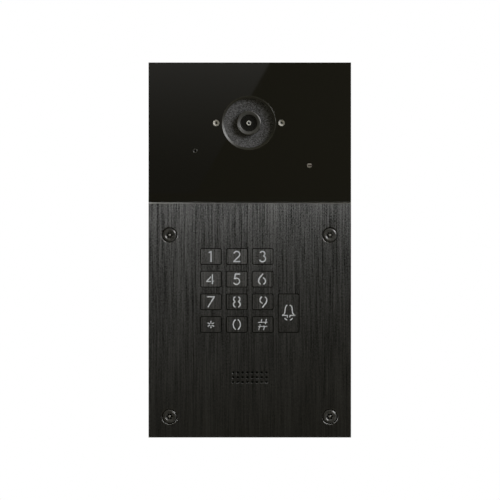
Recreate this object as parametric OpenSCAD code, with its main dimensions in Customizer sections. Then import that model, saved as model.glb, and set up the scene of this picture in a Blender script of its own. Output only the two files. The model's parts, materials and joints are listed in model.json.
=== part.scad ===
// Flush-mounted door intercom panel. A black glass field with the camera sits above a brushed
// plate with a keypad, a call key and a speaker grille. Both lie on a steel chassis that hooks
// into a moulded wall box and is held by four security screws.
// X is the width and Z the height, centred on the front. Y runs into the wall, and the rear of
// the wall box is at y = 0. A depth is a forward distance from that rear face: y = -depth.

/* [Front] */
// Width of the front
panel_w = 125; // [124:0.5:128]
// Height of the front
panel_h = 231.5; // [230:0.5:236]
// Height of the brushed plate, the rest being glass
plate_h = 145; // [144.5:0.5:146]
// Thickness of the brushed plate
plate_t = 3; // [2.8:0.1:3.4]
// Thickness of the glass
glass_t = 2.5; // [2.2:0.1:2.6]
// Chamfer round the front edges
edge_chamfer = 0.4; // [0.2:0.1:0.6]
// Gap between the glass and the plate
joint_gap = 0.3; // [0.1:0.05:0.5]

/* [Wall box] */
// How far the front overlaps the wall box on each side
wall_overlap = 9; // [8.8:0.1:9.2]
// Depth of the wall box
box_d = 46; // [46:1:60]
// Wall thickness of the box
box_wall = 2.5; // [2:0.1:3]
// Outer corner radius of the box
box_corner = 4; // [3.5:0.1:4.5]
// Chamfer round the rear edges of the box
rear_chamfer = 1.2; // [0.8:0.1:1.5]
// Width between the wall fixing holes
fixing_x = 60; // [50:1:70]
// Height between the wall fixing holes
fixing_z = 160; // [150:1:170]
// Radius of a wall fixing hole
fixing_r = 2.25; // [2:0.05:2.75]
// Radius of the cable bore in the grommet
cable_r = 4; // [3:0.1:5]

/* [Face screws] */
// Distance of a face screw from the side and bottom edges
screw_inset = 13; // [12.8:0.1:13.2]
// Distance of the upper face screws from the top of the plate
screw_drop = 20; // [19:0.5:21]
// Radius of the screw shank
screw_r = 2.5; // [2.2:0.1:2.5]
// Radius of the screw head
screw_head_r = 4.4; // [4.2:0.1:4.6]

/* [Keypad] */
// Width of a key window
key_w = 13.3; // [12:0.1:13.4]
// Height of a key window
key_h = 10.2; // [9.5:0.1:10.4]
// Distance between key columns
key_pitch_x = 16; // [15.8:0.1:16.2]
// Distance between key rows
key_pitch_z = 14; // [13.8:0.1:14.2]
// Height of the top row's centre, from the centre of the front
keys_top_z = -4; // [-5:0.5:-3.5]
// Gap round a key
key_gap = 0.45; // [0.3:0.05:0.5]
// How far a key stands proud of the plate
key_proud = 0.15; // [0:0.05:0.4]
// Travel of a key
key_travel = 0.8; // [0.5:0.05:0.8]
// Stroke width of the legends
legend_stroke = 0.8; // [0.7:0.05:0.9]

/* [Camera] */
// Sideways place of the camera, from the centre of the front
camera_x = -0.6; // [-2:0.1:2]
// Height of the camera above the centre of the front
camera_z = 78.4; // [76:0.1:80]
// Radius of the camera opening at the front of the glass
opening_r = 16.5; // [16.4:0.1:16.8]
// Width of the polished bevel round the opening
opening_bevel = 1.2; // [1.2:0.1:1.8]
// Radius of the lens barrel
barrel_r = 7.3; // [7:0.1:7.5]
// Distance of each light from the lens
light_x = 20.2; // [20.1:0.1:21]
// Radius of a light's hole in the glass
light_r = 2.05; // [2:0.05:2.2]

/* [Sound] */
// Height of the grille's centre
grille_z = -78.6; // [-80:0.1:-77]
// Distance between grille holes
grille_pitch = 2.94; // [2.8:0.02:3.1]
// Radius of a grille hole
grille_r = 0.8; // [0.6:0.05:0.9]
// Radius of the speaker
speaker_r = 20; // [19:0.5:20]

/* [Hidden] */
$fn = 96;
KEYS = [
    // name, column, row
    ["1", 0, 0], ["2", 1, 0], ["3", 2, 0],
    ["4", 0, 1], ["5", 1, 1], ["6", 2, 1],
    ["7", 0, 2], ["8", 1, 2], ["9", 2, 2],
    ["star", 0, 3], ["0", 1, 3], ["hash", 2, 3],
    ["call", 3, 2.5],
];

cut = 1;                          // how far a cutter runs past a surface
box_w = panel_w - 2 * wall_overlap;
box_h = panel_h - 2 * wall_overlap;
box_top = box_h / 2 - box_wall;   // inner face of the box's top wall

// Depths from the rear of the box forward
gasket_t = 1;
wall_depth = box_d - gasket_t;    // the finished wall's surface
chassis_t = 1.5;
chassis_front = box_d + chassis_t;
face = chassis_front + plate_t;   // front of the plate and of the glass
glass_back = face - glass_t;

// Heights
plate_bottom = -panel_h / 2;
plate_top = plate_bottom + plate_h;
glass_bottom = plate_top + joint_gap;
glass_top = panel_h / 2;

boss_r = screw_inset - wall_overlap - 0.2;
edge_slope = 0.5;                 // rise of every polished bevel for its width
head_rim = face - 0.7;            // depth of a screw head's widest edge
head_top = face - 0.05;
screw_neck_r = screw_r + 0.2;
screw_neck = head_rim + screw_neck_r - screw_head_r;
seat_r = screw_head_r - 0.3;      // where the head's cone leaves its seat in the plate
sink_r = screw_head_r + 0.35;     // wall of the sink round the head
sink_bevel = 0.35;
grille_bevel = 0.08;
SCREWS = [
    for (x = [-1, 1], z = [plate_top - screw_drop, plate_bottom + screw_inset])
        [x * (panel_w / 2 - screw_inset), z]
];

// Keypad
key_flange = 0.7;                 // flange beyond the window on each side
flange_t = 0.8;
flange_front = chassis_front - 0.1;
flange_back = flange_front - flange_t;
key_front = face + key_proud;
cap_skin = 1.2;                   // thickness of a key's front wall
guide_back = box_d - 0.1;         // rear end of a legend's light guide
mat_t = 1;
dome_top = guide_back - key_travel - 0.1;
mat_front = dome_top - 1.3;
mat_back = mat_front - mat_t;
board_t = 1.6;
keypad_board_back = mat_back - board_t;
call_h = key_h + key_pitch_z;
keypad_x = 33.5;                  // half width of the window for the keypad
keypad_bottom = keys_top_z - 3 * key_pitch_z - key_h / 2 - 2.5;
keypad_top = keys_top_z + key_h / 2 + 2;
KEYPAD_STUDS = [for (x = [-37, 37], z = [keypad_bottom + 2, keypad_top + 0.5]) [x, z]];

// Camera
land_r = opening_r - opening_bevel;
trim_r = land_r + 1.6;            // outer radius of the trim's cup
trim_floor = face - 3.2;
trim_back = box_d - 1.4;          // rear of the trim's flange
barrel_front = face - 0.5;
camera_board_front = 36.6;
camera_board_back = camera_board_front - board_t;
CAMERA_STUDS = [for (x = [-14, 14], z = [-12, 12]) [camera_x + x, camera_z + z]];
LIGHTS = [for (x = [-1, 1]) camera_x + x * light_x];
mic_at = [-33.8, 61.2];
mic_clear_r = 4.2;                // hole round the microphone's boot
sensor_at = [36.8, 52.2];
sensor_clear_r = 3.2;             // hole round the light sensor's window

// Main board
main_back = 22;
main_front = main_back + board_t;
main_x = 42;
main_bottom = 16;
main_top = 98;
MAIN_STUDS = [for (x = [-38, 38], z = [main_bottom + 4, main_top - 4]) [x, z]];
stud_bore = 1.5;                  // radius of the thread in a board standoff

function key_x(k) = (k[1] - 1.5) * key_pitch_x;
function key_z(k) = keys_top_z - k[2] * key_pitch_z;
function is_call(k) = k[0] == "call";
function window_h(k) = is_call(k) ? call_h : key_h;
function bezier(a, b, c, d, steps) = [
    for (i = [0:steps]) let (t = i / steps, s = 1 - t)
        s * s * s * a + 3 * s * s * t * b + 3 * s * t * t * c + t * t * t * d
];
function unit(v) = v / norm(v);

// A 2D outline in X and Z, made solid between two depths
module layer(from, to) translate([0, -from, 0]) rotate([90, 0, 0])
    linear_extrude(to - from) children();

// A round bar along the depth
module post(x, z, r, from, to) translate([x, -from, z]) rotate([90, 0, 0])
    cylinder(r = r, h = to - from);

// A profile of [radius, depth], turned about the depth axis through x, z
module turned(x, z) translate([x, 0, z]) rotate([90, 0, 0]) rotate_extrude() children();

module rounded(w, h, r) {
    square([w - 2 * r, h], center = true);
    square([w, h - 2 * r], center = true);
    for (x = [-1, 1], z = [-1, 1]) translate([x * (w / 2 - r), z * (h / 2 - r)]) circle(r);
}

module rectangle(x0, x1, z0, z1) translate([x0, z0]) square([x1 - x0, z1 - z0]);

// A slab whose four front edges are chamfered
module chamfered(x0, x1, z0, z1, from, to, c) intersection() {
    translate([0, 0, z0]) linear_extrude(z1 - z0) polygon([
        [x0, -from], [x1, -from], [x1, c - to], [x1 - c, -to], [x0 + c, -to], [x0, c - to],
    ]);
    translate([x0, 0, 0]) rotate([90, 0, 90]) linear_extrude(x1 - x0) polygon([
        [-from, z0], [-from, z1], [c - to, z1], [-to, z1 - c], [-to, z0 + c], [c - to, z0],
    ]);
}

// A box between two depths
module block(x0, x1, from, to, z0, z1) translate([x0, -to, z0]) cube([x1 - x0, to - from, z1 - z0]);

/* ---- Legends: strokes in the key's own plane, centred on the key ---- */

// A straight stroke
module bar(p, q, w) translate(p) rotate(atan2(q.y - p.y, q.x - p.x))
    translate([0, -w / 2]) square([norm(q - p), w]);

// A curved stroke about c, from angle a0 up to angle a1
module bow(c, r, a0, a1, w) translate(c) intersection() {
    difference() {
        circle(r + w / 2);
        circle(r - w / 2);
    }
    reach = 2 * (r + w);
    steps = ceil((a1 - a0) / 40);
    polygon(concat([[0, 0]], [
        for (i = [0:steps]) let (a = a0 + (a1 - a0) * i / steps) reach * [cos(a), sin(a)]
    ]));
}

// A stroke along a run of points
module ribbon(path, w) {
    last = len(path) - 1;
    sides = [
        for (i = [0:last])
            let (t = unit(path[min(i + 1, last)] - path[max(i - 1, 0)])) [-t.y, t.x] * w / 2
    ];
    polygon(concat(
        [for (i = [0:last]) path[i] + sides[i]],
        [for (i = [last:-1:0]) path[i] - sides[i]]
    ));
}

module digit_1(w) {
    bar([0.1, -3.4], [0.1, 3.4], w);
    bar([-1.35, 2.3], [0.1, 3.15], w * 0.9);
}
module digit_2(w) {
    bow([0, 1.35], 1.8, -40, 165, w);
    bar([1.4, 0.2], [-1.85, -3.1], w);
    bar([-2.2, -3.1], [2.1, -3.1], w);
}
module digit_3(w) {
    bow([-0.15, 1.7], 1.45, -75, 160, w);
    bow([-0.15, -1.4], 1.85, -160, 80, w);
}
module digit_4(w) {
    bar([0.95, -3.1], [0.95, 3.1], w);
    bar([-2.6, -1.35], [0.1, 1.6], w * 0.9);
    bar([-3, -1.4], [0.15, -1.4], w * 0.9);
    bar([1.2, -1.2], [2, -1.2], w * 0.8);
}
module digit_5(w) {
    bar([-1.1, 3.15], [2.05, 3.15], w);
    bar([-0.8, 3.3], [-1.5, 0.2], w);
    bow([-0.2, -1.3], 1.9, -155, 133, w);
}
module digit_6(w) {
    bar([0.2, 3.45], [-2.4, 0.2], w);
    bow([-0.45, -1.15], 2.1, 140, 248, w);
    bow([-0.45, -1.15], 2.1, -68, 78, w);
}
module digit_7(w) {
    bar([-2.5, 3.15], [2.5, 3.15], w);
    bar([2.1, 3.1], [-1.9, -3.4], w);
}
module digit_8(w) for (side = [0, 1]) mirror([side, 0]) {
    bow([-0.5, 1.7], 1.45, 101, 259, w);
    bow([-0.35, -1.55], 1.7, 106, 254, w);
}
module digit_9(w) rotate(180) digit_6(w);
module digit_0(w) for (side = [0, 1]) mirror([side, 0]) bow([1.65, 0], 3.85, 127, 233, w);
module star(w) for (a = [30:60:330]) {
    bar(0.6 * [cos(a), sin(a)], 2.1 * [cos(a), sin(a)], w * 0.85);
    translate(2 * [cos(a), sin(a)]) circle(w * 0.5);
}
module hash(w) {
    thin = w * 0.68;
    for (z = [1.4, -1.15]) bar([-2.85, z], [2.85, z], thin);
    bar([-0.55, 3.5], [-1.05, 1.4], thin);
    bar([2.3, 3.5], [1.55, 0.1], thin);
    bar([-1.6, 0.1], [-2.35, -3.4], thin);
    bar([1.05, -1.15], [0.55, -3.5], thin);
}
module bell(w) for (side = [0, 1]) mirror([side, 0]) {
    ribbon(concat(
        bezier([-0.65, 5], [-1.8, 4.7], [-2.1, 3.6], [-2.2, 1.9], 8),
        bezier([-2.25, 1.2], [-2.35, -0.1], [-2.9, -0.7], [-3.65, -1.25], 6)
    ), w * 0.9);
    bar([-4.1, -1.35], [-0.5, -1.35], w * 0.8);
    bar([-0.8, -1.35], [-0.8, -2.7], w * 0.75);
    bow([0, -1.6], 2.75, 209, 253, w * 0.9);
}
module legend_shape(name, w) {
    if (name == "1") digit_1(w);
    if (name == "2") digit_2(w);
    if (name == "3") digit_3(w);
    if (name == "4") digit_4(w);
    if (name == "5") digit_5(w);
    if (name == "6") digit_6(w);
    if (name == "7") digit_7(w);
    if (name == "8") digit_8(w);
    if (name == "9") digit_9(w);
    if (name == "0") digit_0(w);
    if (name == "star") star(w);
    if (name == "hash") hash(w);
    if (name == "call") bell(w);
}

/* ---- Wall box and its fittings ---- */

grommet_depth = 16;               // depth of the cable entry's axis
grommet_r = 8;                    // radius of its hole in the box

// A thin ring groove that marks a knock-out, in a wall that faces along its own +Z
module knockout(r) translate([0, 0, -1]) difference() {
    cylinder(r = r, h = 1 + cut);
    translate([0, 0, -cut]) cylinder(r = r - 1, h = 1 + 3 * cut);
}

module back_box() color([0.13, 0.13, 0.14]) difference() {
    union() {
        difference() {
            intersection() {
                layer(0, box_d) rounded(box_w, box_h, box_corner);
                translate([0, -box_d, 0]) mirror([0, 1, 0])
                    chamfered(-box_w / 2, box_w / 2, -box_h / 2, box_h / 2, 0, box_d, rear_chamfer);
            }
            layer(box_wall, box_d + cut)
                rounded(box_w - 2 * box_wall, box_h - 2 * box_wall, box_corner - box_wall);
        }
        for (s = SCREWS) post(s.x, s.y, boss_r, box_wall / 2, box_d);
        // the rail that the chassis hooks behind
        block(-42, 42, 38, 41, 100.5, box_top + box_wall / 2);
        // ribs that key the box into the wall
        for (side = [0, 1], z = [-78:26:78]) mirror([side, 0, 0])
            block(box_w / 2 - 0.5, box_w / 2 + 1.5, 8, 38, z - 1.5, z + 1.5);
    }
    for (s = SCREWS) post(s.x, s.y, 3.2, box_d - 10, box_d + cut);
    for (x = [-1, 1], z = [-1, 1]) post(x * fixing_x / 2, z * fixing_z / 2, fixing_r, -cut, box_wall + cut);
    translate([0, -grommet_depth, -box_h / 2 - cut]) cylinder(r = grommet_r, h = box_wall + 2 * cut);
    for (x = [-26, 26]) {
        translate([x, -grommet_depth, box_h / 2]) knockout(10);
        translate([x, -grommet_depth, -box_h / 2]) rotate([180, 0, 0]) knockout(10);
    }
    for (side = [0, 1], z = [-39, 39]) mirror([side, 0, 0])
        translate([box_w / 2, -grommet_depth - 4, z]) rotate([0, 90, 0]) knockout(9);
    for (z = [-40, 0, 40]) translate([0, 0, z]) rotate([-90, 0, 0]) knockout(12);
}

module box_inserts() color([0.72, 0.6, 0.3]) for (s = SCREWS) difference() {
    union() {
        post(s.x, s.y, 2.95, box_d - 9.5, box_d - 0.2);
        for (d = [1.2, 4.6, 8]) post(s.x, s.y, 3.2, box_d - d - 1.2, box_d - d);
    }
    post(s.x, s.y, screw_r, box_d - 10, box_d + cut);
}

module cable_grommet() color([0.05, 0.05, 0.05])
    translate([0, -grommet_depth, -box_h / 2]) rotate_extrude() polygon([
        [cable_r, -1.8], [grommet_r + 1.2, -1.8], [grommet_r + 2.2, -0.8], [grommet_r + 2.2, 0],
        [grommet_r, 0], [grommet_r, box_wall], [grommet_r + 1.8, box_wall],
        [grommet_r + 1.8, box_wall + 1.2], [grommet_r + 1, box_wall + 1.8], [cable_r, box_wall + 1.8],
    ]);

module rim_gasket() color([0.07, 0.07, 0.07]) layer(wall_depth, box_d) difference() {
    rounded(panel_w - 2, panel_h - 2, 1.5);
    rounded(box_w + 0.5, box_h + 0.5, box_corner + 0.25);
}

/* ---- Chassis, plate and glass ---- */

module chassis() color([0.55, 0.56, 0.57]) {
    layer(box_d, chassis_front) difference() {
        rounded(panel_w - 3, panel_h - 3, 1);
        for (s = SCREWS) translate(s) circle(screw_r + 0.3);
        rectangle(-keypad_x, keypad_x, keypad_bottom, keypad_top);
        translate([0, grille_z]) square([27, 13], center = true);
        translate([camera_x, camera_z]) circle(trim_r + 0.3);
        for (x = LIGHTS) translate([x, camera_z]) circle(light_r + 0.35);
        translate(mic_at) circle(mic_clear_r);
        translate(sensor_at) circle(sensor_clear_r);
    }
    // the two hooks, bent back over the box's rail
    for (side = [0, 1]) mirror([side, 0, 0]) {
        block(20, 32, 35.8, box_d + 0.1, 98, 99.5);
        block(20, 32, 35.8, 37.3, 98, 102.4);
    }
}

module face_plate() color([0.2, 0.2, 0.2]) difference() {
    chamfered(-panel_w / 2, panel_w / 2, plate_bottom, plate_top, chassis_front, face, edge_chamfer);
    for (s = SCREWS) turned(s.x, s.y) polygon([
        [0, chassis_front - cut], [screw_neck_r, chassis_front - cut], [screw_neck_r, screw_neck],
        [seat_r, screw_neck + seat_r - screw_neck_r], [sink_r, screw_neck + seat_r - screw_neck_r],
        [sink_r, face - edge_slope * sink_bevel], [sink_r + sink_bevel, face],
        [sink_r + sink_bevel, face + cut], [0, face + cut],
    ]);
    for (k = KEYS) layer(chassis_front - cut, face + cut)
        translate([key_x(k), key_z(k)]) rounded(key_w, window_h(k), 1.1);
    for (i = [-3.5:3.5], j = [-1:1])
        turned(i * grille_pitch, grille_z + j * grille_pitch) polygon([
            [0, chassis_front - cut], [grille_r, chassis_front - cut],
            [grille_r, face - edge_slope * grille_bevel], [grille_r + grille_bevel, face],
            [grille_r + grille_bevel, face + cut], [0, face + cut],
        ]);
}

module glass_panel() color([0.03, 0.03, 0.03]) difference() {
    chamfered(-panel_w / 2, panel_w / 2, glass_bottom, glass_top, glass_back, face, edge_chamfer * 0.6);
    turned(camera_x, camera_z) polygon([
        [0, glass_back - cut], [land_r, glass_back - cut], [land_r, face - edge_slope * opening_bevel],
        [opening_r, face], [opening_r, face + cut], [0, face + cut],
    ]);
    for (x = LIGHTS) post(x, camera_z, light_r, glass_back - cut, face + cut);
    post(mic_at.x, mic_at.y, 1.55, glass_back - cut, face + cut);
    post(sensor_at.x, sensor_at.y, 1.9, glass_back - cut, face + cut);
}

module glass_tape() color([0.1, 0.1, 0.1]) layer(chassis_front, glass_back) difference() {
    rectangle(2 - panel_w / 2, panel_w / 2 - 2, glass_bottom + 1, glass_top - 2);
    translate([camera_x, camera_z]) circle(trim_r + 0.3);
    for (x = LIGHTS) translate([x, camera_z]) circle(light_r + 0.35);
    translate(mic_at) circle(mic_clear_r);
    translate(sensor_at) circle(sensor_clear_r);
}

// A countersunk head with a bevelled shoulder, a six-lobe recess with a bevelled mouth and a centre pin
module face_screws() color([0.25, 0.25, 0.25]) for (s = SCREWS) {
    shoulder_r = 3.95;            // outer radius of the bevel round the head
    shoulder = 0.55;              // its width
    mouth_r = 2.85;
    mouth_depth = 0.35;
    pin_r = 0.7;
    pin_top = face - 0.25;
    recess_floor = face - 2.3;
    difference() {
        turned(s.x, s.y) polygon([
            [0, box_d - 9], [screw_r - 0.6, box_d - 9], [screw_r, box_d - 8.2], [screw_r, screw_neck],
            [screw_neck_r, screw_neck], [screw_head_r, head_rim],
            [shoulder_r, head_top - edge_slope * shoulder], [shoulder_r - shoulder, head_top], [0, head_top],
        ]);
        turned(s.x, s.y) polygon([
            [0, head_top - mouth_depth], [mouth_r - mouth_depth / edge_slope, head_top - mouth_depth],
            [mouth_r + cut, head_top + edge_slope * cut], [0, head_top + edge_slope * cut],
        ]);
        layer(recess_floor, face + cut) translate(s) {
            circle(1.3);
            for (a = [0:60:300]) rotate(a) translate([1.5, 0]) circle(0.5);
        }
    }
    turned(s.x, s.y) polygon([
        [0, recess_floor - 0.1], [pin_r, recess_floor - 0.1], [pin_r, pin_top - edge_slope * 0.2],
        [pin_r - 0.2, pin_top], [0, pin_top],
    ]);
}

/* ---- Camera, lights and sensors in the glass ---- */

module camera_trim() color([0.16, 0.16, 0.16]) difference() {
    union() {
        turned(camera_x, camera_z) polygon([
            [barrel_r + 0.25, trim_back], [trim_r, trim_back], [trim_r, glass_back],
            [land_r + 0.3, glass_back], [land_r + 0.3, trim_floor],
            [barrel_r + 1.2, trim_floor - 0.9], [barrel_r + 0.25, trim_floor - 0.9],
        ]);
        layer(trim_back, box_d) difference() {
            translate([camera_x, camera_z]) rounded(52, 37, 4);
            translate([camera_x, camera_z]) circle(trim_r - 1);
        }
    }
    for (x = LIGHTS) post(x, camera_z, light_r + 0.35, trim_back - cut, face);
}

module lens_barrel() color([0.12, 0.12, 0.12]) turned(camera_x, camera_z) polygon([
    [barrel_r - 2.1, 41], [barrel_r, 41], [barrel_r, barrel_front - 0.35],
    [barrel_r - 0.15, barrel_front - 0.15], [barrel_r - 0.45, barrel_front],
    [barrel_r - 1.5, barrel_front - 0.32], [barrel_r - 2.1, barrel_front - 0.75],
]);

module lens_retainer() color([0.03, 0.03, 0.03]) turned(camera_x, camera_z) polygon([
    [1.1, 46.6], [barrel_r - 2.1, 46.6], [barrel_r - 2.1, 48.5], [4.6, 48.5], [4.5, 48.1],
    [2, 48.05], [1.75, 48.6], [1.4, 48.6], [1.1, 48.2],
]);

module lens_glass() color([0.1, 0.12, 0.2]) {
    turned(camera_x, camera_z) polygon([[0, 43.5], [4.6, 43.5], [4.6, 46.6], [0, 46.6]]);
    intersection() {
        post(camera_x, camera_z, 1.1, 46.5, 49);
        translate([camera_x, 1.7 - 48.5, camera_z]) sphere(1.7);
    }
}

module lens_holder() color([0.06, 0.06, 0.06]) layer(camera_board_front, 43) translate([camera_x, camera_z])
    difference() {
        rounded(18, 18, 1.5);
        circle(barrel_r);
    }

module board(x0, x1, z0, z1, from, studs) layer(from, from + board_t) difference() {
    rectangle(x0, x1, z0, z1);
    for (s = studs) translate(s) circle(stud_bore + 0.1);
}

module camera_board() color([0.05, 0.3, 0.15])
    board(camera_x - 17, camera_x + 17, camera_z - 15, camera_z + 15, camera_board_back, CAMERA_STUDS);

// Pale funnels round the two lights
module light_reflectors() color([0.75, 0.75, 0.7]) for (x = LIGHTS) turned(x, camera_z)
    polygon([
        [0.7, box_d + 0.5], [light_r + 0.25, box_d + 0.5], [light_r + 0.25, glass_back],
        [light_r - 0.05, glass_back], [light_r - 0.05, face - 0.3], [light_r - 0.2, face - 0.15],
        [light_r - 0.35, face - 0.15], [0.7, face - 1.4],
    ]);

module light_leds() color([0.1, 0.1, 0.12]) for (x = LIGHTS) {
    post(x, camera_z, light_r + 0.2, box_d - 2.6, box_d + 0.4);
    post(x, camera_z, 0.66, box_d, face - 1.9);
    translate([x, 1.9 - face, camera_z]) sphere(0.66);
}

module mic_boot() color([0.08, 0.08, 0.08]) turned(mic_at.x, mic_at.y) polygon([
    [0.6, 46.9], [3, 46.9], [3, 42], [4, 42], [4, glass_back], [1.5, glass_back],
    [1.5, face - 0.35], [1.25, face - 0.12], [0.85, face - 0.12], [0.6, face - 0.5],
]);

module microphone() color([0.6, 0.6, 0.6]) turned(mic_at.x, mic_at.y) polygon([
    [0, 43], [2.95, 43], [2.95, 46.7], [2.6, 46.9], [1, 46.9], [1, 46.6], [0, 46.6],
]);

module light_sensor_window() color([0.25, 0.22, 0.18]) turned(sensor_at.x, sensor_at.y) polygon([
    [0, box_d], [3, box_d], [3, glass_back], [1.85, glass_back], [1.85, face - 0.25],
    [1.7, face - 0.1], [0, face - 0.1],
]);

module light_sensor() color([0.05, 0.3, 0.15]) {
    post(sensor_at.x, sensor_at.y, 3, box_d - 2.6, box_d - 1);
    block(sensor_at.x - 1.2, sensor_at.x + 1.2, box_d - 1, box_d - 0.05, sensor_at.y - 1, sensor_at.y + 1);
}

/* ---- Keypad ---- */

// A metal cap with a flange behind the plate and the legend cut through its front wall
module key_cap(k) color([0.22, 0.22, 0.22]) translate([key_x(k), 0, key_z(k)]) {
    w = key_w - 2 * key_gap;
    h = window_h(k) - 2 * key_gap;
    difference() {
        union() {
            intersection() {
                layer(flange_back, key_front) rounded(w, h, 0.8);
                chamfered(-w / 2, w / 2, -h / 2, h / 2, flange_back, key_front, 0.12);
            }
            layer(flange_back, flange_front) rounded(w + 2 * key_flange, h + 2 * key_flange, 0.8);
        }
        layer(flange_back - cut, key_front - cap_skin) rounded(w - 1.6, h - 1.4, 0.3);
        layer(flange_back - cut, key_front + cut) legend_shape(k[0], legend_stroke);
    }
}

// A clear light guide that fills the cap and shows through its legend
module key_legend(k) color([0.8, 0.8, 0.78]) translate([key_x(k), 0, key_z(k)]) {
    w = key_w - 2 * key_gap - 1.7;
    h = window_h(k) - 2 * key_gap - 1.5;
    layer(guide_back, key_front - cap_skin - 0.02) rounded(w, h, 0.3);
    layer(key_front - cap_skin - 0.1, key_front - 0.1) legend_shape(k[0], legend_stroke - 0.04);
}

module dome(x, z) translate([x, -mat_front + 0.2, z]) rotate([90, 0, 0])
    cylinder(r1 = 4.4, r2 = 3.2, h = dome_top - mat_front + 0.2);

module keypad_mat() color([0.7, 0.7, 0.68]) {
    layer(mat_back, mat_front) rectangle(0.5 - keypad_x, keypad_x - 0.5, keypad_bottom, keypad_top);
    for (k = KEYS) {
        if (is_call(k)) for (z = [-6, 6]) dome(key_x(k), key_z(k) + z);
        else dome(key_x(k), key_z(k));
    }
}

module keypad_board() color([0.05, 0.3, 0.15])
    board(-40, 40, keypad_bottom - 1.5, keypad_top + 4, keypad_board_back, KEYPAD_STUDS);

/* ---- Speaker ---- */

module grille_mesh() color([0.05, 0.05, 0.05]) layer(chassis_front - 0.3, chassis_front)
    translate([0, grille_z]) square([26.4, 12.4], center = true);

module speaker_gasket() color([0.08, 0.08, 0.08]) layer(box_d - 1, box_d) translate([0, grille_z])
    difference() {
        circle(speaker_r);
        circle(speaker_r - 2.5);
    }

module speaker_basket() color([0.4, 0.4, 0.42]) turned(0, grille_z) polygon([
    [speaker_r, box_d - 1], [speaker_r, box_d - 1.8], [speaker_r - 2, box_d - 1.8], [10.5, 38], [10.5, 36],
    [0, 36], [0, 36.8], [9.7, 36.8], [9.7, 38.4], [speaker_r - 2.9, box_d - 1.6],
    [speaker_r - 2.9, box_d - 1],
]);

module speaker_cone() color([0.12, 0.12, 0.12]) turned(0, grille_z) polygon([
    [speaker_r - 3, box_d - 1], [speaker_r - 4.6, box_d - 1], [6, 40.6], [3.2, 41.9], [0, 42.3],
    [0, 41.9], [3, 41.5], [5.6, 40.2], [6.2, 39.9], [speaker_r - 4.2, box_d - 1.6],
    [speaker_r - 3, box_d - 1.6],
]);

module speaker_magnet() color([0.3, 0.3, 0.3]) turned(0, grille_z) polygon([
    [0, 31.5], [8.6, 31.5], [9, 31.9], [9, 35.6], [8.6, 36], [0, 36],
]);

/* ---- Electronics behind the chassis ---- */

module main_board() color([0.05, 0.3, 0.15])
    board(-main_x, main_x, main_bottom, main_top, main_back, MAIN_STUDS);

// Chips, capacitors and headers on the three boards, and the camera's sensor
module board_components() color([0.1, 0.1, 0.1]) {
    block(-9, 5, main_back - 1.4, main_back, 58, 72);
    block(-26, -16, main_back - 1.2, main_back, 60, 70);
    block(14, 24, main_back - 3, main_back, 78, 88);
    block(-30, -18, main_back - 1, main_back, 80, 86);
    for (x = [12, 22, 32]) post(x, 50, 3.5, main_back - 9, main_back);
    for (x = [-30, -22]) post(x, 46, 2.5, main_back - 6, main_back);
    // ribbon headers, each where a ribbon ends
    block(-9, 9, main_front, main_front + 2.6, 24, 29);
    block(-9, 9, main_front, main_front + 2.6, 47, 52);
    block(-9, 9, keypad_board_back - 2.6, keypad_board_back, -9, -4);
    block(-9, 9, camera_board_back - 2.6, camera_board_back, 66, 71);
    block(-4, 4, keypad_board_back - 3, keypad_board_back, -52, -47);
    // the image sensor
    block(
        camera_x - 4, camera_x + 4, camera_board_front, camera_board_front + 0.9, camera_z - 4, camera_z + 4
    );
}

// An eight-way screw terminal for the wall cables
module terminal_block() color([0.1, 0.35, 0.2]) difference() {
    block(-22, 22, main_back - 12, main_back, 20, 30);
    for (i = [-3.5:3.5]) {
        post(i * 5.2, 25, 1.7, main_back - 12 - cut, main_back - 9);
        translate([i * 5.2 - 1.5, -main_back + 3, 19]) cube([3, 3, 8]);
    }
}

// A flat cable in the plane of depth and height, [depth, height] points
module flat_cable(path, width, t) translate([-width / 2, 0, 0]) rotate([90, 0, 90])
    linear_extrude(width) mirror([1, 0]) ribbon(path, t);

// Two board ribbons and the speaker's twin lead
module internal_cables() color([0.8, 0.8, 0.8]) {
    keypad_ribbon = keypad_board_back - 0.5;
    camera_ribbon = camera_board_back - 0.5;
    main_ribbon = main_front + 0.5;
    flat_cable(concat(
        [[keypad_ribbon, -4]],
        bezier([keypad_ribbon, 6], [keypad_ribbon, 16], [main_ribbon, 8], [main_ribbon, 18], 12),
        [[main_ribbon, 24]]
    ), 14, 0.4);
    flat_cable(concat(
        [[camera_ribbon, 66]],
        bezier([camera_ribbon, 64], [camera_ribbon, 56], [main_ribbon, 66], [main_ribbon, 56], 12),
        [[main_ribbon, 52]]
    ), 14, 0.4);
    flat_cable(concat(
        [[33.5, grille_z + 9]],
        bezier([33.5, -66], [33.5, -60], [39.5, -64], [39.5, -56], 10),
        [[39.5, -52]]
    ), 2.6, 1.3);
}

module standoff(x, z, r, from, to, sides) difference() {
    translate([x, -from, z]) rotate([90, 0, 0]) cylinder(r = r, h = to - from, $fn = sides);
    post(x, z, stud_bore, from - cut, from + 7);
}

module board_standoffs() color([0.75, 0.7, 0.5]) {
    for (s = MAIN_STUDS) standoff(s.x, s.y, 3, main_front, box_d, 6);
    for (s = KEYPAD_STUDS) standoff(s.x, s.y, 2.4, keypad_board_back + board_t, box_d, 32);
    for (s = CAMERA_STUDS) standoff(s.x, s.y, 2.4, camera_board_front, trim_back, 32);
}

module board_screw(x, z, back, length) {
    post(x, z, stud_bore, back - 0.5, back + length);
    difference() {
        post(x, z, 2.7, back - 1.8, back);
        block(x - 2, x + 2, back - 2, back - 1, z - 0.35, z + 0.35);
        block(x - 0.35, x + 0.35, back - 2, back - 1, z - 2, z + 2);
    }
}

module board_screws() color([0.7, 0.7, 0.72]) {
    for (s = MAIN_STUDS) board_screw(s.x, s.y, main_back, 6);
    for (s = KEYPAD_STUDS) board_screw(s.x, s.y, keypad_board_back, 4);
    for (s = CAMERA_STUDS) board_screw(s.x, s.y, camera_board_back, 6);
}

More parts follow.
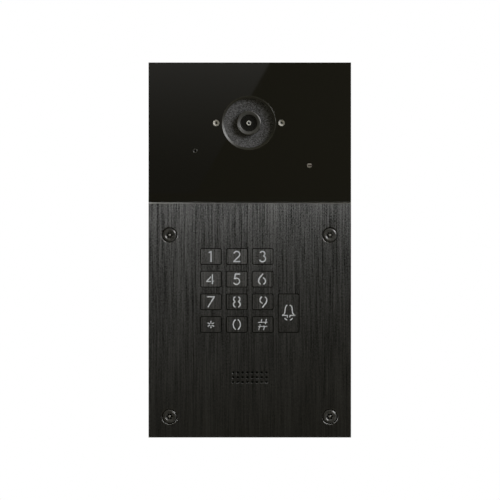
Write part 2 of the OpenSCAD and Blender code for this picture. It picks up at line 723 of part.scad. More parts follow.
back_box();
box_inserts();
cable_grommet();
rim_gasket();
chassis();
face_plate();
glass_panel();
glass_tape();
face_screws();
camera_trim();
lens_barrel();
lens_retainer();
lens_glass();
lens_holder();
camera_board();
light_reflectors();
light_leds();
mic_boot();
microphone();
light_sensor_window();
light_sensor();
for (k = KEYS) {
    key_cap(k);
    key_legend(k);
}
keypad_mat();
keypad_board();
grille_mesh();
speaker_gasket();
speaker_basket();
speaker_cone();
speaker_magnet();
main_board();
board_components();
terminal_block();
internal_cables();
board_standoffs();
board_screws();
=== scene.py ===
"""Looks for the door intercom panel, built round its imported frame. Metres, +Z up, the front faces -Y."""
import json
import math

import bmesh
import bpy
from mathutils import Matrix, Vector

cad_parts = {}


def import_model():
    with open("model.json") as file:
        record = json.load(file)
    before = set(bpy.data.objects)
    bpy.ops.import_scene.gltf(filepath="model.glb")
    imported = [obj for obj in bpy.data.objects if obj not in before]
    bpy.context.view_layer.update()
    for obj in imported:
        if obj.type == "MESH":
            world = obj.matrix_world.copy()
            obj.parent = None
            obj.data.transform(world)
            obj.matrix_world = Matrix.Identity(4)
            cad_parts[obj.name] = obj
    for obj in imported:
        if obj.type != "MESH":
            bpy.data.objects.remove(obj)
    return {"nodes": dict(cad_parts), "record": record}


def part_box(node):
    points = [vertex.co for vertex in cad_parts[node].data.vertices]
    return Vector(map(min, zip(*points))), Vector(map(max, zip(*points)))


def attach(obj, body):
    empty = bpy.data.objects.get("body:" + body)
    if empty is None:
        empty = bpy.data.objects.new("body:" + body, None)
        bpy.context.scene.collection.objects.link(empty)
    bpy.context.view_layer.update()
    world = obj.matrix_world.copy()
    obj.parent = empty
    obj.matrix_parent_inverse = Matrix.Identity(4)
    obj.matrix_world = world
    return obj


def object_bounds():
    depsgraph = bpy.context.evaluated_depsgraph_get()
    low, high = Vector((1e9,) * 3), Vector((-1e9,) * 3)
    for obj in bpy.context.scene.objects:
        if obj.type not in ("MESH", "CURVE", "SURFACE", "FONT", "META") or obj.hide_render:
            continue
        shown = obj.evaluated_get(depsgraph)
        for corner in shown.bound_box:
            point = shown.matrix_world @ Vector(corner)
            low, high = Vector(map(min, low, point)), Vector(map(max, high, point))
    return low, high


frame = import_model()
cad_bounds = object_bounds()

MM = 0.001
NODES = frame["nodes"]
GLASS_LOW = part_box("glass_panel")[0]
PLATE_LOW, PLATE_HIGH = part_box("face_plate")
BARREL_LOW, BARREL_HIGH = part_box("lens_barrel")
FACE_Y = GLASS_LOW.y                                   # the plane of the glass and the plate
LENS_X = (BARREL_LOW.x + BARREL_HIGH.x) / 2
LENS_Z = (BARREL_LOW.z + BARREL_HIGH.z) / 2
LENS_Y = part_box("lens_glass")[0].y                     # the tip of the front lens
OPENING_R = 16.5 * MM                                  # outer edge of the ground bevel round the camera
SCREW_HEAD_R = 4.4 * MM
PIN_R = 0.75 * MM                                      # the screws' centre pins, and a little more


def plug(tree, value, socket):
    """Joins a socket, or sets a number or colour, as the input needs."""
    if isinstance(value, bpy.types.NodeSocket):
        tree.links.new(value, socket)
    else:
        socket.default_value = value


def maths_node(tree, operation, *values):
    made = tree.nodes.new("ShaderNodeMath")
    made.operation = operation
    for value, socket in zip(values, made.inputs):
        plug(tree, value, socket)
    return made.outputs[0]


def scaled(color, factor):
    return tuple(c * factor for c in color)


class Look:
    """A procedural material in the making, with its texture space in the object's own metres."""

    def __init__(self, name, color, roughness, metallic=0.0, bevel=0.0, **settings):
        self.material = bpy.data.materials.new(name)
        self.material.use_nodes = True
        self.tree = self.material.node_tree
        self.shader = self.tree.nodes["Principled BSDF"]
        self.shader.inputs["Base Color"].default_value = (*color, 1)
        self.shader.inputs["Roughness"].default_value = roughness
        self.shader.inputs["Metallic"].default_value = metallic
        for socket, value in settings.items():
            self.shader.inputs[socket.replace("_", " ")].default_value = value
        self.place = self.node("ShaderNodeTexCoord").outputs["Object"]
        self.normal = None
        if bevel:
            edge = self.node("ShaderNodeBevel", samples=4)
            edge.inputs["Radius"].default_value = bevel
            self.normal = edge.outputs["Normal"]
            self.tree.links.new(self.normal, self.shader.inputs["Normal"])

    def node(self, kind, **settings):
        made = self.tree.nodes.new(kind)
        for name, value in settings.items():
            setattr(made, name, value)
        return made

    def plug(self, value, socket):
        plug(self.tree, value, socket)

    def along(self, axis):
        """The place's coordinate along X, Y or Z."""
        split = self.node("ShaderNodeSeparateXYZ")
        self.plug(self.place, split.inputs[0])
        return split.outputs[axis]

    def stretched(self, periods, offset=(0, 0, 0)):
        """The place, divided by a period in metres along each axis."""
        mapping = self.node("ShaderNodeMapping")
        self.tree.links.new(self.place, mapping.inputs["Vector"])
        mapping.inputs["Scale"].default_value = [1 / p for p in periods]
        mapping.inputs["Location"].default_value = offset
        return mapping.outputs["Vector"]

    def noise(self, periods, detail=3.0, rough=0.5, distortion=0.0, offset=(0, 0, 0)):
        """Noise from about 0 to 1 whose features are as large as the periods."""
        texture = self.node("ShaderNodeTexNoise")
        self.plug(self.stretched(periods, offset), texture.inputs["Vector"])
        texture.inputs["Scale"].default_value = 1
        texture.inputs["Detail"].default_value = detail
        texture.inputs["Roughness"].default_value = rough
        texture.inputs["Distortion"].default_value = distortion
        return texture.outputs["Fac"]

    def scattered(self, period, output):
        """One output of a texture of scattered points, about a period apart."""
        texture = self.node("ShaderNodeTexVoronoi")
        self.plug(self.stretched((period,) * 3), texture.inputs["Vector"])
        texture.inputs["Scale"].default_value = 1
        return texture.outputs[output]

    def cells(self, period):
        """Distance to the nearest of the scattered points, in periods."""
        return self.scattered(period, "Distance")

    def grains(self, period):
        """A chance value from 0 to 1 for each grain of about that size."""
        split = self.node("ShaderNodeSeparateColor")
        self.plug(self.scattered(period, "Color"), split.inputs[0])
        return split.outputs[0]

    def off_axis(self, x, z, place=None):
        """Distance from the line along Y through x and z."""
        moved = self.node("ShaderNodeVectorMath", operation="MULTIPLY_ADD")
        self.plug(place or self.place, moved.inputs[0])
        moved.inputs[1].default_value = (1, 0, 1)
        moved.inputs[2].default_value = (-x, 0, -z)
        length = self.node("ShaderNodeVectorMath", operation="LENGTH")
        self.plug(moved.outputs["Vector"], length.inputs[0])
        return length.outputs["Value"]

    def maths(self, operation, *values):
        return maths_node(self.tree, operation, *values)

    def weighed(self, *shares):
        """The sum of (value, weight) pairs."""
        total = 0.0
        for value, weight in shares:
            total = self.maths("ADD", self.maths("MULTIPLY", value, weight), total)
        return total

    def span(self, value, low, high, start=0.0, end=1.0):
        """Takes start..end of the value to low..high, clamped."""
        made = self.node("ShaderNodeMapRange")
        self.plug(value, made.inputs["Value"])
        made.inputs["From Min"].default_value = start
        made.inputs["From Max"].default_value = end
        self.plug(low, made.inputs["To Min"])
        self.plug(high, made.inputs["To Max"])
        return made.outputs["Result"]

    def blend(self, factor, a, b):
        """A colour between a and b."""
        made = self.node("ShaderNodeMix", data_type="RGBA")
        self.plug(factor, made.inputs[0])
        self.plug(a if isinstance(a, bpy.types.NodeSocket) else (*a, 1), made.inputs[6])
        self.plug(b if isinstance(b, bpy.types.NodeSocket) else (*b, 1), made.inputs[7])
        return made.outputs[2]

    def color(self, value):
        self.plug(value, self.shader.inputs["Base Color"])

    def roughness(self, value):
        self.plug(value, self.shader.inputs["Roughness"])

    def bump(self, height, depth, strength=1.0):
        """Relief whose full height is depth metres."""
        made = self.node("ShaderNodeBump")
        made.inputs["Strength"].default_value = strength
        made.inputs["Distance"].default_value = depth
        self.plug(height, made.inputs["Height"])
        if self.normal is not None:
            self.tree.links.new(self.normal, made.inputs["Normal"])
        self.normal = made.outputs["Normal"]
        self.plug(self.normal, self.shader.inputs["Normal"])


# ---- Materials ----

BEVEL_Y = FACE_Y + 0.02 * MM                           # what lies behind this is a bevel or deeper
HOLE_Y = FACE_Y + 0.45 * MM                            # and behind this, a hole or an outer side
BEVEL_ROUGHNESS = 0.5
# Painted shade for the insides of holes
PAINTED_HOLE_SHADE = (0.006, 0.006, 0.006)
PAINTED_TOP_HIGHLIGHT = (0.6, 0.6, 0.59)                            # a painted highlight: the bright line along the plate's top


def brushed_metal(name, dark, light, roughness, seed, depth=1.0):
    """Black anodised metal brushed along Z, streakier towards the top: short dashes, long hairs and lines.

    Bevels are unbrushed, the insides of holes are painted dark as shade, and the plate's top edge carries a
    painted highlight.
    """
    look = Look(name, dark, roughness, metallic=1.0, Anisotropic=0.8)
    shift = (seed * 7.3, seed * 3.1, seed * 5.7)
    dashes = look.noise((0.4 * MM, 2 * MM, MM), detail=2, rough=0.6, offset=shift)
    hairs = look.noise((0.38 * MM, 3 * MM, 26 * MM), detail=2, rough=0.6, offset=shift)
    lines = look.noise((1.1 * MM, 6 * MM, 90 * MM), detail=2, rough=0.6, offset=shift)
    bands = look.noise((6 * MM, 20 * MM, 300 * MM), detail=2, offset=shift)
    streaks = look.weighed((dashes, 0.38), (hairs, 0.38), (lines, 0.16), (bands, 0.08))
    # The streaks' contrast grows from the plate's foot to its top
    contrast = look.span(look.along("Z"), 1.9 * depth, 6.2 * depth, PLATE_LOW.z, PLATE_HIGH.z)
    tone = look.weighed((look.maths("SUBTRACT", streaks, 0.5), contrast), (1, 0.5))
    is_bevel = look.maths("GREATER_THAN", look.along("Y"), BEVEL_Y)
    is_deep = look.maths("GREATER_THAN", look.along("Y"), HOLE_Y)
    is_inner = look.maths("LESS_THAN", look.maths("ABSOLUTE", look.along("X")), PLATE_HIGH.x - MM)
    # Painted shade: the insides of holes, but not the plate's outer sides, are coloured near black
    is_shaded_hole = look.maths("MULTIPLY", is_deep, is_inner)
    # Painted highlight: the top 0.4 mm of the plate is coloured pale
    is_top_highlight = look.maths("GREATER_THAN", look.along("Z"), PLATE_HIGH.z - 0.4 * MM)
    brushed = look.blend(look.span(tone, 0, 1), dark, light)
    look.color(look.blend(is_shaded_hole, look.blend(is_top_highlight, brushed, PAINTED_TOP_HIGHLIGHT), PAINTED_HOLE_SHADE))
    look.roughness(look.span(is_bevel, look.span(tone, roughness - 0.03, roughness + 0.03), BEVEL_ROUGHNESS))
    look.bump(hairs, 0.004 * MM, 0.2)
    return look.material


def black_glass():
    """Polished glass printed black behind, with the faintest smears."""
    deep = (0.009, 0.0084, 0.0059)
    look = Look("black_glass", deep, 0.02, IOR=1.5)
    smears = look.noise((38 * MM, 38 * MM, 22 * MM), detail=5, rough=0.6, distortion=0.6)
    polish = look.span(smears, 0.01, 0.03, 0.45, 0.75)
    ground = look.maths("LESS_THAN", look.off_axis(LENS_X, LENS_Z), OPENING_R)
    look.roughness(look.span(ground, polish, 0.36))
    specks = look.noise((0.9 * MM,) * 3, detail=2)
    face = look.blend(look.span(specks, 0, 1, 0.62, 0.8), deep, (0.0112, 0.0106, 0.008))
    look.color(look.blend(ground, face, (0.01, 0.0095, 0.007)))
    return look.material


def moulded(name, color, roughness, grain=0.5 * MM, depth=0.03 * MM, bevel=0.3 * MM):
    """Moulded plastic with a spark-eroded grain and a slow change of tone."""
    look = Look(name, color, roughness, bevel=bevel)
    tone = look.noise((30 * MM,) * 3, detail=3)
    fine = look.noise((grain,) * 3, detail=4, rough=0.6)
    look.color(look.blend(look.span(tone, 0, 1, 0.35, 0.65), scaled(color, 0.75), scaled(color, 1.25)))
    look.roughness(look.span(fine, roughness - 0.06, roughness + 0.08, 0.35, 0.65))
    look.bump(fine, depth, 0.6)
    return look.material


def textured_trim():
    """Coarse sparkling grain of the camera's trim."""
    look = Look("textured_trim", (0.05, 0.05, 0.05), 0.55)
    grains = look.grains(0.42 * MM)
    fine = look.noise((0.3 * MM,) * 3, detail=2)
    tone = look.weighed((grains, 0.65), (fine, 0.35))
    dark, light = (0.01, 0.01, 0.0106), (0.13, 0.13, 0.138)
    look.color(look.blend(look.span(tone, 0, 1, 0.34, 0.78), dark, light))
    look.roughness(look.span(grains, 0.6, 0.35))
    look.bump(tone, 0.07 * MM, 0.8)
    return look.material


def rubber(name, color, roughness=0.75):
    """Dull rubber with fine pores and a pale bloom."""
    look = Look(name, color, roughness, bevel=0.2 * MM)
    bloom = look.noise((6 * MM,) * 3, detail=4)
    pores = look.noise((0.35 * MM,) * 3, detail=2)
    pale = tuple(c * 1.7 + 0.004 for c in color)
    look.color(look.blend(look.span(bloom, 0, 1, 0.42, 0.75), color, pale))
    look.roughness(look.span(pores, roughness - 0.1, roughness + 0.1, 0.35, 0.65))
    look.bump(pores, 0.03 * MM, 0.4)
    return look.material


def plated_steel(name, dark, light, roughness):
    """Zinc plate: cloudy grains and fine rolling marks."""
    look = Look(name, dark, roughness, metallic=1.0, bevel=0.15 * MM)
    clouds = look.noise((11 * MM,) * 3, detail=4, rough=0.6)
    rolling = look.noise((14 * MM, 14 * MM, 0.5 * MM), detail=3)
    look.color(look.blend(look.span(clouds, 0, 1, 0.35, 0.65), dark, light))
    look.roughness(look.span(clouds, roughness - 0.08, roughness + 0.1, 0.35, 0.65))
    look.bump(rolling, 0.006 * MM, 0.3)
    return look.material


def turned_metal(name, dark, light, roughness):
    """Turned metal with fine marks in it."""
    look = Look(name, dark, roughness, metallic=1.0, bevel=0.08 * MM)
    marks = look.noise((0.3 * MM,) * 3, detail=4)
    wear = look.noise((1.6 * MM,) * 3, detail=3)
    look.color(look.blend(look.span(wear, 0, 1, 0.4, 0.7), dark, light))
    look.roughness(look.span(marks, roughness - 0.06, roughness + 0.08, 0.35, 0.65))
    look.bump(marks, 0.008 * MM, 0.4)
    return look.material


def black_screw():
    """A blackened screw, painted dark as shade inside its recess, with a painted highlight on its centre
    pin.
    """
    look = Look("black_screw", (0.06, 0.06, 0.06), 0.26, metallic=0.25, bevel=0.08 * MM)
    marks = look.noise((0.3 * MM,) * 3, detail=4)
    wear = look.noise((1.6 * MM,) * 3, detail=3)
    low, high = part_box("face_screws")
    middle = (low + high) / 2
    # The four screws are folded onto one, whose centre is a head's radius inside the corner of their box
    folded = look.node("ShaderNodeVectorMath", operation="SUBTRACT")
    look.plug(look.place, folded.inputs[0])
    folded.inputs[1].default_value = middle
    unsigned = look.node("ShaderNodeVectorMath", operation="ABSOLUTE")
    look.plug(folded.outputs["Vector"], unsigned.inputs[0])
    radius = look.off_axis(high.x - middle.x - SCREW_HEAD_R, high.z - middle.z - SCREW_HEAD_R,
                           unsigned.outputs["Vector"])
    is_pin_highlight = look.maths("LESS_THAN", radius, PIN_R)
    is_deep = look.maths("GREATER_THAN", look.along("Y"), FACE_Y + 0.5 * MM)
    black = look.blend(look.span(wear, 0, 1, 0.4, 0.7), (0.04, 0.04, 0.04), (0.08, 0.08, 0.079))
    # Painted highlight: the centre pin is coloured pale
    head = look.blend(is_pin_highlight, black, (0.28, 0.28, 0.27))
    # Painted shade: deep inside the recess the colour is near black
    look.color(look.blend(is_deep, head, (0.003, 0.003, 0.003)))
    look.roughness(look.span(is_deep, look.span(marks, 0.2, 0.34, 0.35, 0.65), 0.8))
    look.bump(marks, 0.008 * MM, 0.4)
    return look.material


def legend_plastic():
    """Diffusing clear plastic that fills the legends."""
    look = Look("legend_plastic", (0.7, 0.73, 0.79), 0.42, bevel=0.05 * MM)
    haze = look.noise((1.6 * MM,) * 3, detail=3)
    look.color(look.blend(look.span(haze, 0, 1, 0.35, 0.65), (0.63, 0.66, 0.73), (0.74, 0.77, 0.84)))
    look.bump(look.noise((0.25 * MM,) * 3, detail=2), 0.01 * MM, 0.3)
    return look.material


def circuit_board():
    """Green solder resist over copper tracks."""
    look = Look("circuit_board", (0.015, 0.1, 0.045), 0.35, bevel=0.1 * MM)
    tracks = look.cells(3.2 * MM)
    look.color(look.blend(look.span(tracks, 0, 1, 0.32, 0.36), (0.03, 0.17, 0.075), (0.012, 0.085, 0.038)))
    look.bump(look.span(tracks, 1, 0, 0.3, 0.38), 0.02 * MM, 0.5)
    return look.material


def woven(name, dark, light, period):
    """A fine woven or pressed sheet."""
    look = Look(name, dark, 0.85)
    along = look.node("ShaderNodeTexWave", bands_direction="X")
    across = look.node("ShaderNodeTexWave", bands_direction="Z")
    for wave in (along, across):
        look.plug(look.stretched((period * 3,) * 3), wave.inputs["Vector"])
        wave.inputs["Scale"].default_value = 1
    weave = look.maths("MULTIPLY", along.outputs["Fac"], across.outputs["Fac"])
    look.color(look.blend(weave, dark, light))
    look.bump(weave, 0.05 * MM, 0.7)
    return look.material


def smooth_plastic(name, color, roughness, **settings):
    """Polished plastic or glass, faintly cloudy."""
    look = Look(name, color, roughness, bevel=0.06 * MM, **settings)
    tone = look.noise((2.5 * MM,) * 3, detail=3)
    look.color(look.blend(look.span(tone, 0, 1, 0.35, 0.65), scaled(color, 0.85), scaled(color, 1.15)))
    look.roughness(look.span(tone, max(0.03, roughness - 0.04), roughness + 0.06, 0.35, 0.65))
    return look.material


def sensor_window():
    """A smoked window that shows the light sensor's pale case, which is flat at its top and has a slit; its
    light and shade are painted.
    """
    look = Look("sensor_window", (0.12, 0.11, 0.095), 0.2, bevel=0.06 * MM)
    low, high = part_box("light_sensor_window")
    middle = (low + high) / 2
    height = look.maths("SUBTRACT", look.along("Z"), middle.z)
    in_disc = look.span(look.off_axis(middle.x, middle.z), 1, 0, 1.45 * MM, 1.6 * MM)
    in_case = look.maths("MULTIPLY", in_disc, look.span(height, 1, 0, 1.15 * MM, 1.3 * MM))
    past_end = look.span(look.along("X"), 0, 1, middle.x - 1.1 * MM, middle.x - 0.6 * MM)
    by_middle = look.span(look.maths("ABSOLUTE", height), 1, 0, 0.25 * MM, 0.5 * MM)
    in_slit = look.maths("MULTIPLY", past_end, by_middle)
    # Painted light: the case is coloured lighter towards its top
    painted_top_light = look.span(height, 0, 1, -1.2 * MM, MM)
    case = look.blend(painted_top_light, (0.13, 0.124, 0.105), (0.24, 0.222, 0.205))
    # Painted shade: the slit is coloured dark
    inside = look.blend(in_slit, case, (0.035, 0.026, 0.024))
    look.color(look.blend(in_case, (0.012, 0.011, 0.008), inside))
    return look.material


KEY_DARK = (0.04, 0.04, 0.0397)
KEY_LIGHT = (0.245, 0.245, 0.2437)
# Keys that are brushed alike, and how light they come out: painted light and shade for each row, lighter in
# the upper rows and darker in the lower rows and on the call key
KEY_ROW_SHADES = (
    (("key_1", "key_2", "key_3"), 1),
    (("key_4", "key_5", "key_6"), 1.14),
    (("key_7", "key_8", "key_9"), 0.9),
    (("key_star", "key_0", "key_hash"), 0.86),
    (("key_call",), 0.8),
)
# The look of each slot but the keys' own
MATERIALS = {
    "brushed_plate": brushed_metal("brushed_plate", (0.018, 0.018, 0.0178), (0.187, 0.187, 0.1857), 0.31, 1),
    "black_glass": black_glass(),
    "textured_trim": textured_trim(),
    "box_plastic": moulded("box_plastic", (0.03, 0.031, 0.033), 0.55),
    "satin_black": moulded("satin_black", (0.056, 0.056, 0.056), 0.38, grain=0.2 * MM, depth=0.005 * MM,
                           bevel=0.1 * MM),
    "lens_black": moulded("lens_black", (0.006, 0.006, 0.0055), 0.28, grain=0.15 * MM, depth=0.004 * MM,
                          bevel=0.05 * MM),
    "lens_glass": smooth_plastic("lens_glass", (0.01, 0.012, 0.03), 0.04, IOR=1.8),
    "rubber": rubber("rubber", (0.018, 0.018, 0.018)),
    "foam_tape": rubber("foam_tape", (0.025, 0.025, 0.025), 0.85),
    "silicone": rubber("silicone", (0.4, 0.4, 0.38), 0.6),
    "zinc_steel": plated_steel("zinc_steel", (0.5, 0.5, 0.49), (0.68, 0.67, 0.64), 0.36),
    "brass": turned_metal("brass", (0.6, 0.43, 0.17), (0.75, 0.56, 0.26), 0.3),
    "black_screw": black_screw(),
    "ferrite": turned_metal("ferrite", (0.06, 0.06, 0.06), (0.1, 0.1, 0.1), 0.5),
    "circuit_board": circuit_board(),
    "component_black": moulded("component_black", (0.02, 0.02, 0.02), 0.5, grain=0.3 * MM, bevel=0.1 * MM),
    "terminal_green": moulded("terminal_green", (0.02, 0.16, 0.05), 0.45, grain=0.3 * MM, bevel=0.15 * MM),
    "cable_grey": smooth_plastic("cable_grey", (0.42, 0.42, 0.43), 0.45),
    "pale_reflector": smooth_plastic("pale_reflector", (0.44, 0.43, 0.405), 0.35),
    "led_resin": smooth_plastic("led_resin", (0.01, 0.01, 0.012), 0.12),
    "smoked_window": sensor_window(),
    "legend_guide": legend_plastic(),
    "acoustic_mesh": woven("acoustic_mesh", (0.004, 0.004, 0.004), (0.012, 0.012, 0.012), 0.3 * MM),
    "speaker_paper": woven("speaker_paper", (0.012, 0.012, 0.012), (0.03, 0.03, 0.03), 0.6 * MM),
}


def felt_faced_can():
    """The microphone's metal can, with black felt over its front."""
    look = Look("felt_faced_can", (0.5, 0.5, 0.49), 0.4, metallic=1.0)
    is_felt = look.maths("LESS_THAN", look.along("Y"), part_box("microphone")[0].y + 0.1 * MM)
    fibres = look.noise((0.2 * MM,) * 3, detail=4)
    steel = look.blend(fibres, (0.42, 0.42, 0.41), (0.58, 0.58, 0.57))
    felt = look.blend(fibres, (0.002, 0.002, 0.002), (0.012, 0.012, 0.012))
    look.color(look.blend(is_felt, steel, felt))
    look.roughness(look.span(is_felt, 0.4, 0.95))
    look.plug(look.span(is_felt, 1, 0), look.shader.inputs["Metallic"])
    look.bump(fibres, 0.03 * MM, 0.5)
    return look.material


def dress_nodes():
    """Each CAD node takes the material of its slot, but for the microphone's can and the rows of keys."""
    slots = {part["node"]: part["material_slot"] for part in frame["record"]["subparts"]}
    finishes = {name: MATERIALS[slot] for name, slot in slots.items() if slot != "brushed_key"}
    finishes["microphone"] = felt_faced_can()
    # Each row's painted light and shade scales its dark and light colours
    for seed, (keys, tone) in enumerate(KEY_ROW_SHADES, start=2):
        dark, light = scaled(KEY_DARK, tone), scaled(KEY_LIGHT, tone)
        finish = brushed_metal("brushed_" + keys[0], dark, light, 0.3, seed, depth=0.85)
        finishes.update({key: finish for key in keys})
    for name in slots:
        mesh = NODES[name].data
        mesh.materials.clear()
        mesh.materials.append(finishes[name])


# ---- Pieces that the CAD leaves out ----

TURNED_SEGMENTS = 96


def meshed(name, bm, material):
    """An object of the bmesh, with all its normals outwards."""
    bmesh.ops.recalc_face_normals(bm, faces=bm.faces)
    mesh = bpy.data.meshes.new(name)
    bm.to_mesh(mesh)
    bm.free()
    mesh.materials.append(material)
    made = bpy.data.objects.new(name, mesh)
    bpy.context.scene.collection.objects.link(made)
    return made


def bridged(bm, outline, following):
    """A band of faces between two closed outlines of as many points."""
    for i in range(len(outline)):
        j = (i + 1) % len(outline)
        bm.faces.new((outline[i], outline[j], following[j], following[i]))


def turned(name, x, z, profile, material):
    """A ring turned round a line along Y: the profile is a closed list of (radius, y)."""
    bm = bmesh.new()
    rings = []
    for i in range(TURNED_SEGMENTS):
        angle = 2 * math.pi * i / TURNED_SEGMENTS
        across, up = math.cos(angle), math.sin(angle)
        rings.append([bm.verts.new((x + r * across, y, z + r * up)) for r, y in profile])
    for i, ring in enumerate(rings):
        bridged(bm, ring, rings[(i + 1) % TURNED_SEGMENTS])
    made = meshed(name, bm, material)
    made.data.shade_smooth()
    return made


def lens_ring():
    """The pale ring that holds the front lens, with a rounded lip over its edge."""
    profile = [(1.5, 0.4), (1.5, 0), (1.42, -0.16), (1.27, -0.24), (1.08, -0.2), (0.86, -0.02),
               (0.78, 0.1), (0.8, 0.18), (1.12, 0.34), (1.12, 0.4)]
    ring = turned("lens_ring", LENS_X, LENS_Z, [(r * MM, LENS_Y + y * MM) for r, y in profile],
                  smooth_plastic("lens_ring", (0.5, 0.5, 0.48), 0.3))
    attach(ring, "panel")
    return ring


def opening_lip():
    """The hair-thin lip of the glass round the camera opening, sloped outwards."""
    profile = [(0, 0.3), (0, -0.12), (0.24, 0), (0.24, 0.3)]
    lip = turned("opening_lip", LENS_X, LENS_Z, [(OPENING_R + r * MM, FACE_Y + y * MM) for r, y in profile],
                 smooth_plastic("opening_lip", (0.012, 0.0115, 0.009), 0.22, IOR=1.8))
    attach(lip, "panel")
    return lip


def microphone_ring():
    """The moulded ring round the microphone's hole, dished towards it, with its floor painted dark as shade.
    """
    low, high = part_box("mic_boot")
    black = (0.03, 0.029, 0.027)
    look = Look("microphone_ring", black, 0.26, bevel=0.05 * MM, IOR=1.6)
    is_deep = look.maths("GREATER_THAN", look.along("Y"), FACE_Y + 0.28 * MM)
    # Painted shade: deep in the hole the colour is near black
    look.color(look.blend(is_deep, black, (0.001, 0.001, 0.001)))
    profile = [(0.25, 0.6), (0.25, 0.5), (0.75, 0.5), (0.75, 0.22), (1.15, 0.02), (1.22, 0.02),
               (1.5, 0.1), (1.5, 0.6)]
    ring = turned("microphone_ring", (low.x + high.x) / 2, (low.z + high.z) / 2,
                  [(r * MM, FACE_Y + y * MM) for r, y in profile], look.material)
    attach(ring, "panel")
    return ring


def joint_seal():
    """The black seal between the glass and the plate, rounded at its front."""
    radius = (GLASS_LOW.z - PLATE_HIGH.z) / 2
    middle = (GLASS_LOW.z + PLATE_HIGH.z) / 2
    front = FACE_Y + 0.7 * MM
    back = front + 1.5 * MM
    turns = [math.pi * (0.5 + i / 6) for i in range(7)]
    profile = [(front + radius * (1 + math.cos(a)), middle + radius * math.sin(a)) for a in turns]
    profile += [(back, middle - radius), (back, middle + radius)]
    bm = bmesh.new()
    ends = [[bm.verts.new((x, y, z)) for y, z in profile] for x in (PLATE_LOW.x, PLATE_HIGH.x)]
    for end in ends:
        bm.faces.new(end)
    bridged(bm, *ends)
    seal = meshed("joint_seal", bm, MATERIALS["foam_tape"])
    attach(seal, "panel")
    return seal


def barrel_rim():
    """The polished edge of the lens barrel, sloped outwards."""
    radius = (BARREL_HIGH.x - BARREL_LOW.x) / 2
    profile = [(-0.35, 0.3), (-0.35, -0.03), (-0.25, -0.05), (0.12, 0.14), (0.12, 0.4), (-0.1, 0.5)]
    rim = turned("barrel_rim", LENS_X, LENS_Z,
                 [(radius + r * MM, BARREL_LOW.y + y * MM) for r, y in profile],
                 turned_metal("barrel_rim", (0.15, 0.15, 0.15), (0.2, 0.2, 0.2), 0.32))
    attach(rim, "panel")
    return rim


# ---- Studio ----

WHITE = (1, 1, 1)
FRAME_WIDTH = 0.3086          # what the view spans at the front's plane
CAMERA_DISTANCE = 2.0
CAMERA_X = 0.13 * MM
SENSOR_MM = 36
AMBIENT = 0.06                # the dim room that the dark surfaces mirror
# Where the room is lighter: the axis, where on it the lighter part starts and is full, and how much lighter
FILLS = (
    ("Z", 0.2, 0.6, 0.3),
    ("Z", -0.12, -0.45, 0.17),
    ("X", 0.45, 0.85, 0.14),
    ("X", -0.45, -0.85, 0.14),
)


def camera():
    data = bpy.data.cameras.new("camera")
    data.sensor_width = SENSOR_MM
    data.lens = SENSOR_MM * CAMERA_DISTANCE / FRAME_WIDTH
    data.clip_end = 20
    made = bpy.data.objects.new("camera", data)
    made.location = (CAMERA_X, FACE_Y - CAMERA_DISTANCE, 0)
    made.rotation_euler = (math.pi / 2, 0, 0)
    bpy.context.scene.collection.objects.link(made)
    bpy.context.scene.camera = made


def world():
    """White behind the object, and elsewhere a dim room that FILLS makes lighter in places."""
    made = bpy.data.worlds.new("studio")
    bpy.context.scene.world = made
    made.use_nodes = True
    tree = made.node_tree
    room = tree.nodes["Background"]
    room.inputs["Color"].default_value = (1, 0.94, 0.68, 1)
    direction = tree.nodes.new("ShaderNodeTexCoord")
    split = tree.nodes.new("ShaderNodeSeparateXYZ")
    tree.links.new(direction.outputs["Generated"], split.inputs[0])
    level = AMBIENT
    for axis, start, end, fill in FILLS:
        rise = tree.nodes.new("ShaderNodeMapRange")
        rise.interpolation_type = "SMOOTHSTEP"
        rise.inputs["From Min"].default_value = start
        rise.inputs["From Max"].default_value = end
        rise.inputs["To Max"].default_value = fill
        tree.links.new(split.outputs[axis], rise.inputs["Value"])
        level = maths_node(tree, "ADD", rise.outputs["Result"], level)
    tree.links.new(level, room.inputs["Strength"])
    backdrop = tree.nodes.new("ShaderNodeBackground")
    backdrop.inputs["Color"].default_value = (*WHITE, 1)
    rays = tree.nodes.new("ShaderNodeLightPath")
    mix = tree.nodes.new("ShaderNodeMixShader")
    tree.links.new(rays.outputs["Is Camera Ray"], mix.inputs[0])
    tree.links.new(room.outputs[0], mix.inputs[1])
    tree.links.new(backdrop.outputs[0], mix.inputs[2])
    tree.links.new(mix.outputs[0], tree.nodes["World Output"].inputs["Surface"])


def softbox(name, place, width, height, radiance, only=None):
    """A soft light, aimed at the object and unseen by the camera, that may light one collection only."""
    data = bpy.data.lights.new(name, "AREA")
    data.shape = "RECTANGLE"
    data.size = width
    data.size_y = height
    data.energy = radiance * math.pi * width * height
    made = bpy.data.objects.new(name, data)
    made.location = place
    bpy.context.scene.collection.objects.link(made)
    aim = (cad_bounds[0] + cad_bounds[1]) / 2 - made.location
    made.rotation_euler = aim.to_track_quat("-Z", "Y").to_euler()
    made.visible_camera = False
    if only:
        made.light_linking.receiver_collection = only


def emission(name, color):
    """A glowing material and its emission node."""
    made = bpy.data.materials.new(name)
    made.use_nodes = True
    nodes = made.node_tree.nodes
    nodes.clear()
    glow = nodes.new("ShaderNodeEmission")
    glow.inputs["Color"].default_value = (*color, 1)
    out = nodes.new("ShaderNodeOutputMaterial")
    made.node_tree.links.new(glow.outputs[0], out.inputs["Surface"])
    return made, glow


def flat_mesh(name, corners):
    """A single flat face that isn't part of the object."""
    mesh = bpy.data.meshes.new(name)
    mesh.from_pydata(corners, [], [list(range(len(corners)))])
    made = bpy.data.objects.new(name, mesh)
    bpy.context.scene.collection.objects.link(made)
    return made


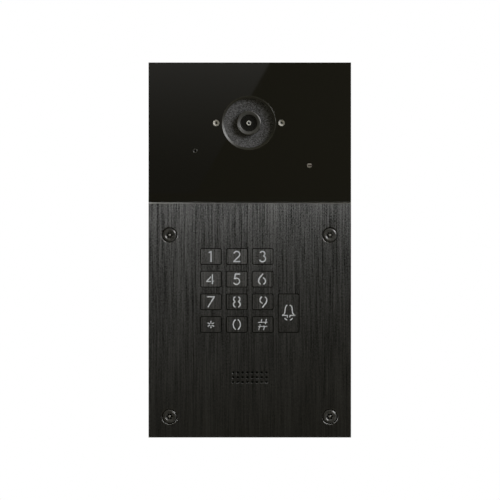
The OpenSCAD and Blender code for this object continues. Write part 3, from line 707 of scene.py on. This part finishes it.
# The card's outline, as its mirror image lies in the front's plane
CARD_LEFT = -0.5
CARD_FOOT = 0.035
CARD_TOP = 0.13
CARD_CORNER = (0.0125, 0.1161)                            # a point on its slanted edge
CARD_SLANT = 1.765                                        # how steep that edge is
CARD_FULL = 0.1137                                        # where it has risen above AMBIENT by CARD_GLOW
CARD_GLOW = 0.27
CARD_LIMIT = 6                                            # the brightest it gets


def card_edge(z):
    return CARD_CORNER[0] - (CARD_CORNER[1] - z) / CARD_SLANT


def slanted_card():
    """The card behind the camera that the glass mirrors: it fades out downwards, and its side is slanted."""
    y = FACE_Y - CAMERA_DISTANCE - 0.3
    grow = (CAMERA_DISTANCE * 2 + 0.3) / CAMERA_DISTANCE  # from the front's plane to the card's own
    corners = [(CARD_LEFT, CARD_FOOT), (card_edge(CARD_FOOT), CARD_FOOT), (card_edge(CARD_TOP), CARD_TOP),
               (CARD_LEFT, CARD_TOP)]
    card = flat_mesh("slanted_card", [(x * grow, y, z * grow) for x, z in corners])
    glowing, glow = emission("slanted_card", (1, 0.99, 0.97))
    tree = glowing.node_tree
    place = tree.nodes.new("ShaderNodeTexCoord")
    split = tree.nodes.new("ShaderNodeSeparateXYZ")
    tree.links.new(place.outputs["Object"], split.inputs[0])
    rise = tree.nodes.new("ShaderNodeMapRange")
    rise.inputs["From Min"].default_value = CARD_FOOT * grow
    rise.inputs["From Max"].default_value = CARD_FULL * grow
    rise.clamp = False
    tree.links.new(split.outputs["Z"], rise.inputs["Value"])
    square = maths_node(tree, "POWER", rise.outputs["Result"], 2)
    level = maths_node(tree, "MULTIPLY_ADD", square, CARD_GLOW, AMBIENT)
    tree.links.new(maths_node(tree, "MINIMUM", level, CARD_LIMIT), glow.inputs["Strength"])
    card.data.materials.append(glowing)
    card.visible_camera = False
    card.visible_shadow = False


def floor():
    """A plain white floor below the view."""
    z = -0.165
    reach = 6
    corners = [(-reach, -reach, z), (reach, -reach, z), (reach, reach, z), (-reach, reach, z)]
    made = flat_mesh("floor", corners)
    made.data.materials.append(emission("floor", WHITE)[0])
    made.visible_glossy = False
    made.visible_diffuse = False
    made.visible_shadow = False


def studio(pieces):
    """The camera, room, floor, card and lights, with the brushed metal lit by strips of its own."""
    bpy.context.scene.view_settings.view_transform = "Standard"
    camera()
    world()
    floor()
    slanted_card()
    brushed = bpy.data.collections.new("brushed")
    unbrushed = bpy.data.collections.new("unbrushed")
    for name, node in NODES.items():
        is_brushed = name == "face_plate" or name.startswith("key_")
        (brushed if is_brushed else unbrushed).objects.link(node)
    for piece in pieces:
        unbrushed.objects.link(piece)
    softbox("key", (0.5, FACE_Y - 0.4, 0.33), 0.3, 0.3, 11)
    softbox("soft", (0.5, FACE_Y - 0.4, 0.33), 0.5, 0.5, 1.9, only=unbrushed)
    softbox("left_strip", (-0.35, FACE_Y - 0.5, 0.17), 0.15, 0.03, 98, only=brushed)
    softbox("left_low", (-0.35, FACE_Y - 0.5, -0.02), 0.15, 0.15, 1.75, only=brushed)
    softbox("low_strip", (0.05, FACE_Y - 0.5, 0.1), 0.12, 0.03, 27, only=brushed)
    softbox("rear_left", (-0.6, 0.7, 0.5), 0.6, 0.6, 3)
    softbox("rear_right", (0.7, 0.6, 0.1), 0.5, 0.8, 2)


dress_nodes()
studio([lens_ring(), opening_lip(), barrel_rim(), microphone_ring(), joint_seal()])
